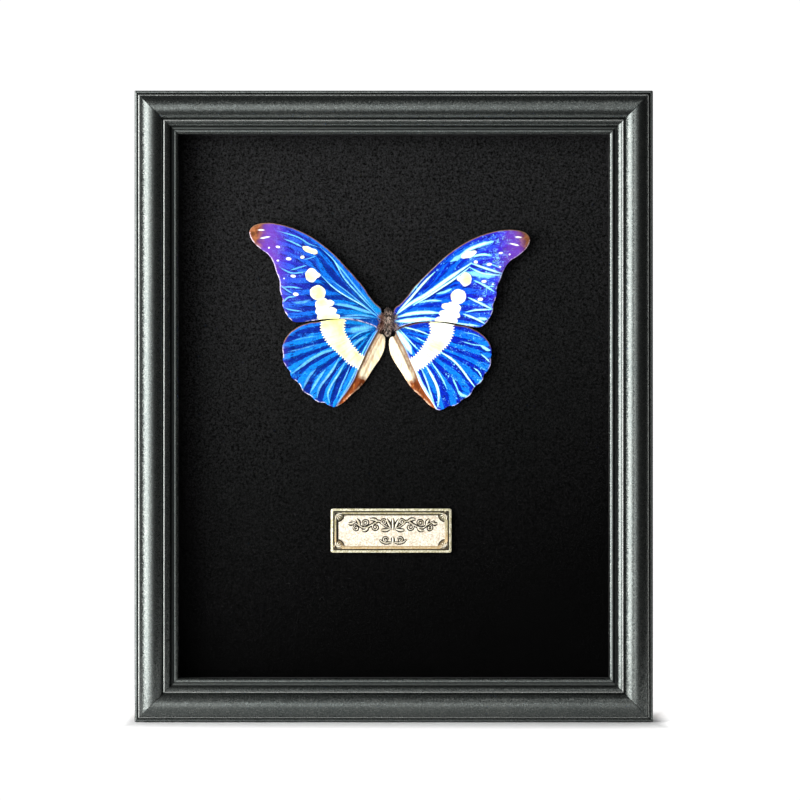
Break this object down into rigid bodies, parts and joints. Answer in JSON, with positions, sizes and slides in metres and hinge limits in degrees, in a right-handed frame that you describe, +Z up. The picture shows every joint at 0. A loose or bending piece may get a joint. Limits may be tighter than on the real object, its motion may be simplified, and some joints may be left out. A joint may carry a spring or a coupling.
{
  "type": "framed butterfly specimen",
  "caption": "Spread blue butterfly specimen on black velvet with a small blank cast plate, in a glazed gunmetal shadow-box frame.",
  "frame": {"origin": "middle of the frame's footprint, on its bottom edge", "axes": "+Z up along the tall side, +Y towards the back, +X to the right seen from the front"},
  "size_m": [0.2332, 0.026, 0.284],
  "materials": {
    "gunmetal_lacquer": "lacquered wood moulding, gunmetal metallic",
    "clear_glass": "polished clear",
    "black_card": "matt black",
    "black_velvet": "board faced with black velvet",
    "hardboard": "brown hardboard, smooth side out",
    "zinc_steel": "zinc plated",
    "antique_cast_metal": "cast, antiqued silver bronze",
    "blue_scales": "iridescent blue scales with cream bands",
    "brown_hair": "fine brown-grey hair",
    "dark_feeler": "matt dark brown"
  },
  "bodies": {
    "root": {"frame_rail_top": "gunmetal_lacquer", "frame_rail_bottom": "gunmetal_lacquer", "frame_rail_left": "gunmetal_lacquer", "frame_rail_right": "gunmetal_lacquer", "retaining_tab_top_1": "zinc_steel", "retaining_tab_top_2": "zinc_steel", "retaining_tab_bottom_1": "zinc_steel", "retaining_tab_bottom_2": "zinc_steel", "retaining_tab_left_1": "zinc_steel", "retaining_tab_left_2": "zinc_steel", "retaining_tab_right_1": "zinc_steel", "retaining_tab_right_2": "zinc_steel", "hanger_plate": "zinc_steel", "hanger_screw_left": "zinc_steel", "hanger_screw_right": "zinc_steel", "backboard": "hardboard", "velvet_board": "black_velvet", "spacer_top": "black_card", "spacer_bottom": "black_card", "spacer_left": "black_card", "spacer_right": "black_card", "glass_pane": "clear_glass", "nameplate": "antique_cast_metal", "butterfly_body": "brown_hair", "forewing_left": "blue_scales", "forewing_right": "blue_scales", "hindwing_left": "blue_scales", "hindwing_right": "blue_scales", "antenna_left": "dark_feeler", "antenna_right": "dark_feeler"}
  },
  "joints": []
}
